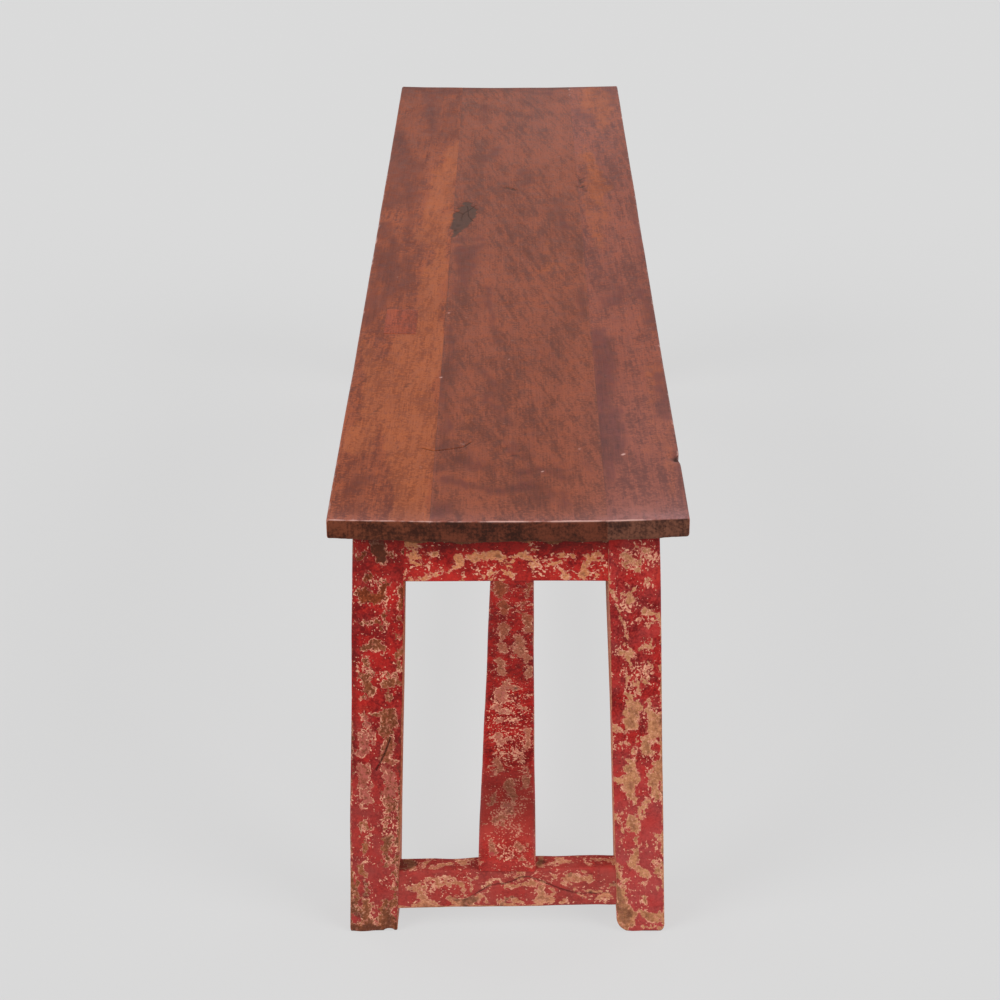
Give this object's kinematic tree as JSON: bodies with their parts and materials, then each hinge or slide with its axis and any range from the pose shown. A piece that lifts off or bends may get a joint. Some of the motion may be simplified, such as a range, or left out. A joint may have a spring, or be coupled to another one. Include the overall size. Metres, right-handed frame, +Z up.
{
  "type": "bucket bench",
  "caption": "Long narrow wooden bench with a boarded top on splayed painted legs, end stretchers and a flat lengthwise stretcher, for seating or for standing buckets and pots on.",
  "frame": {"origin": "on the floor under the middle of the bench", "axes": "+X across the bench to its right, +Y along the bench away from its near end, +Z up"},
  "size_m": [0.37, 1.64, 0.54],
  "materials": {
    "stained_top": "worn reddish-brown stain, satin",
    "stained_patch": "reddish-brown stain, satin",
    "red_paint": "old red paint, chipped down to primer and bare wood, satin",
    "peg_wood": "bare, darkened",
    "bare_wood": "bare, unfinished",
    "iron": "dull, rusted"
  },
  "bodies": {
    "root": {"top_board_left": "stained_top", "top_board_middle": "stained_top", "top_board_right": "stained_top", "top_patch": "stained_patch", "near_left_leg": "red_paint", "near_right_leg": "red_paint", "near_apron": "red_paint", "near_stretcher": "red_paint", "near_apron_pegs": "peg_wood", "near_stretcher_pegs": "peg_wood", "near_lap_nails": "iron", "far_left_leg": "red_paint", "far_right_leg": "red_paint", "far_apron": "red_paint", "far_stretcher": "red_paint", "far_apron_pegs": "peg_wood", "far_stretcher_pegs": "peg_wood", "far_lap_nails": "iron", "left_apron": "red_paint", "left_apron_pegs": "peg_wood", "left_seam_dowels": "peg_wood", "right_apron": "red_paint", "right_apron_pegs": "peg_wood", "right_seam_dowels": "peg_wood", "long_stretcher": "red_paint", "near_batten": "bare_wood", "near_batten_screws": "iron", "middle_batten": "bare_wood", "middle_batten_screws": "iron", "far_batten": "bare_wood", "far_batten_screws": "iron"}
  },
  "joints": []
}
